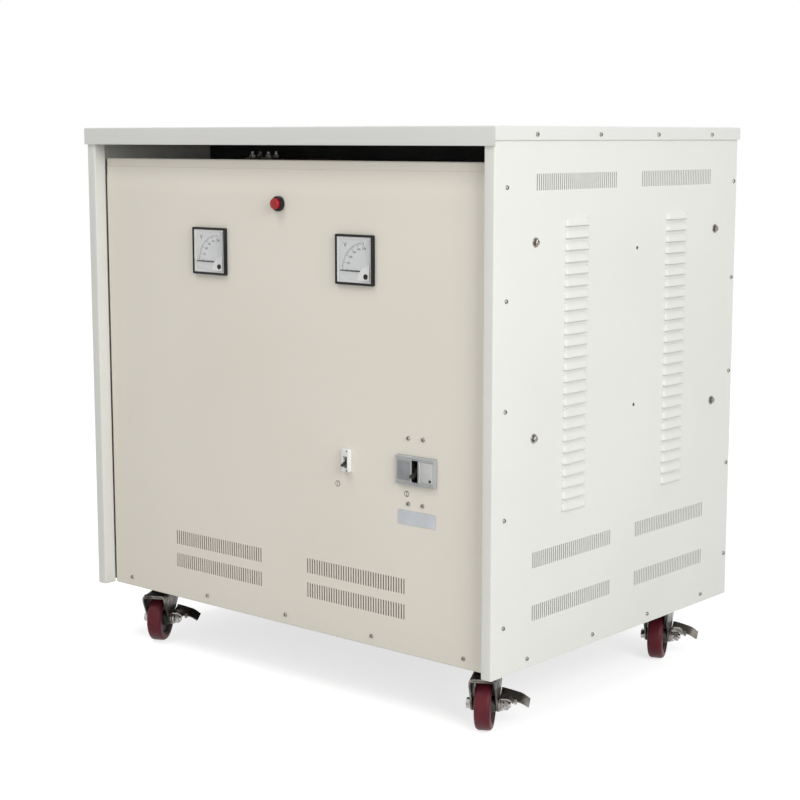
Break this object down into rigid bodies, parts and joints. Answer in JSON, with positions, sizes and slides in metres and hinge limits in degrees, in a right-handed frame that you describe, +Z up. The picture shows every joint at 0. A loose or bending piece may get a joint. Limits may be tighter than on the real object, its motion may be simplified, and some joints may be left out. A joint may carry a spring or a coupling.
{
  "type": "phase converter transformer cabinet",
  "caption": "Dry transformer in a louvred sheet-steel cabinet on braked swivel casters, with square panel meters, a pilot lamp and breakers on a recessed front.",
  "frame": {"origin": "on the floor under the middle of the cabinet", "axes": "+X to the right along the front, +Y to the back, +Z up; the front faces -Y"},
  "size_m": [1.116, 0.838, 1.13],
  "materials": {
    "panel_white": "fine textured powder coat",
    "front_cream": "fine textured powder coat",
    "lid_white": "fine textured powder coat",
    "rail_black": "satin paint",
    "core_steel": "varnished laminations",
    "coil_varnish": "varnished winding",
    "clamp_black": "satin paint",
    "board_brown": "pressed laminate",
    "meter_black": "smooth moulded",
    "dial_white": "smooth printed",
    "pointer_black": "matt paint",
    "lamp_black": "smooth moulded",
    "lamp_red": "clear red moulded",
    "breaker_white": "smooth moulded",
    "toggle_black": "smooth moulded",
    "breaker_grey": "smooth moulded",
    "handle_black": "smooth moulded",
    "label_grey": "satin",
    "caster_steel": "dull zinc plate",
    "axle_zinc": "bright zinc plate",
    "wheel_black": "moulded",
    "tread_maroon": "smooth cast polyurethane"
  },
  "bodies": {
    "cabinet": {"base_frame": "rail_black", "side_panel_left": "panel_white", "side_panel_right": "panel_white", "front_panel": "front_cream", "back_panel": "panel_white", "lid": "lid_white", "core": "core_steel", "coil_left": "coil_varnish", "coil_middle": "coil_varnish", "coil_right": "coil_varnish", "bottom_clamps": "clamp_black", "top_clamps": "clamp_black", "terminal_board": "board_brown", "meter_cases": "meter_black", "meter_dials": "dial_white", "lamp_bezel": "lamp_black", "lamp_lens": "lamp_red", "starter_breaker": "breaker_white", "main_breaker": "breaker_grey", "label_plate": "label_grey", "caster_plates": "caster_steel"},
    "front_left_swivel": {"caster_front_left_fork": "caster_steel", "caster_front_left_axle": "axle_zinc"},
    "front_left_wheel": {"caster_front_left_wheel": "wheel_black", "caster_front_left_tread": "tread_maroon"},
    "front_left_brake": {"caster_front_left_brake": "caster_steel"},
    "front_right_swivel": {"caster_front_right_fork": "caster_steel", "caster_front_right_axle": "axle_zinc"},
    "front_right_wheel": {"caster_front_right_wheel": "wheel_black", "caster_front_right_tread": "tread_maroon"},
    "front_right_brake": {"caster_front_right_brake": "caster_steel"},
    "back_left_swivel": {"caster_back_left_fork": "caster_steel", "caster_back_left_axle": "axle_zinc"},
    "back_left_wheel": {"caster_back_left_wheel": "wheel_black", "caster_back_left_tread": "tread_maroon"},
    "back_left_brake": {"caster_back_left_brake": "caster_steel"},
    "back_right_swivel": {"caster_back_right_fork": "caster_steel", "caster_back_right_axle": "axle_zinc"},
    "back_right_wheel": {"caster_back_right_wheel": "wheel_black", "caster_back_right_tread": "tread_maroon"},
    "back_right_brake": {"caster_back_right_brake": "caster_steel"},
    "pointer_left": {"meter_pointer_left": "pointer_black"},
    "pointer_right": {"meter_pointer_right": "pointer_black"},
    "starter_toggle": {"starter_toggle": "toggle_black"},
    "main_handle": {"main_handle": "handle_black"}
  },
  "joints": [
    {"name": "front_left_swivel", "type": "hinge", "parent": "cabinet", "child": "front_left_swivel", "pos_m": [-0.459, -0.305, 0.118], "axis": [0, 0, 1], "continuous": true},
    {"name": "front_left_roll", "type": "hinge", "parent": "front_left_swivel", "child": "front_left_wheel", "pos_m": [-0.44591, -0.32861, 0.05], "axis": [0.8746, 0.4848, 0], "continuous": true},
    {"name": "front_left_brake", "type": "hinge", "parent": "front_left_swivel", "child": "front_left_brake", "pos_m": [-0.44591, -0.32861, 0.05], "axis": [-0.8746, -0.4848, 0], "range_deg": [0, 25]},
    {"name": "front_right_swivel", "type": "hinge", "parent": "cabinet", "child": "front_right_swivel", "pos_m": [0.459, -0.305, 0.118], "axis": [0, 0, 1], "continuous": true},
    {"name": "front_right_roll", "type": "hinge", "parent": "front_right_swivel", "child": "front_right_wheel", "pos_m": [0.4725, -0.32838, 0.05], "axis": [0.866, 0.5, 0], "continuous": true},
    {"name": "front_right_brake", "type": "hinge", "parent": "front_right_swivel", "child": "front_right_brake", "pos_m": [0.4725, -0.32838, 0.05], "axis": [-0.866, -0.5, 0], "range_deg": [0, 25]},
    {"name": "back_left_swivel", "type": "hinge", "parent": "cabinet", "child": "back_left_swivel", "pos_m": [-0.459, 0.305, 0.118], "axis": [0, 0, 1], "continuous": true},
    {"name": "back_left_roll", "type": "hinge", "parent": "back_left_swivel", "child": "back_left_wheel", "pos_m": [-0.44632, 0.28116, 0.05], "axis": [0.8829, 0.4695, 0], "continuous": true},
    {"name": "back_left_brake", "type": "hinge", "parent": "back_left_swivel", "child": "back_left_brake", "pos_m": [-0.44632, 0.28116, 0.05], "axis": [-0.8829, -0.4695, 0], "range_deg": [0, 25]},
    {"name": "back_right_swivel", "type": "hinge", "parent": "cabinet", "child": "back_right_swivel", "pos_m": [0.459, 0.305, 0.118], "axis": [0, 0, 1], "continuous": true},
    {"name": "back_right_roll", "type": "hinge", "parent": "back_right_swivel", "child": "back_right_wheel", "pos_m": [0.46955, 0.28015, 0.05], "axis": [0.9205, 0.3907, 0], "continuous": true},
    {"name": "back_right_brake", "type": "hinge", "parent": "back_right_swivel", "child": "back_right_brake", "pos_m": [0.46955, 0.28015, 0.05], "axis": [-0.9205, -0.3907, 0], "range_deg": [0, 25]},
    {"name": "pointer_left", "type": "hinge", "parent": "cabinet", "child": "pointer_left", "pos_m": [-0.179, -0.39075, 0.859], "axis": [0, 1, 0], "range_deg": [0, 90], "stiffness_Nm_per_rad": 0.002},
    {"name": "pointer_right", "type": "hinge", "parent": "cabinet", "child": "pointer_right", "pos_m": [0.221, -0.39075, 0.859], "axis": [0, 1, 0], "range_deg": [0, 90], "stiffness_Nm_per_rad": 0.002},
    {"name": "starter_toggle", "type": "hinge", "parent": "cabinet", "child": "starter_toggle", "pos_m": [0.1775, -0.385, 0.491], "axis": [-1, 0, 0], "range_deg": [0, 50]},
    {"name": "main_handle", "type": "hinge", "parent": "cabinet", "child": "main_handle", "pos_m": [0.353, -0.383, 0.491], "axis": [-1, 0, 0], "range_deg": [0, 50]}
  ]
}
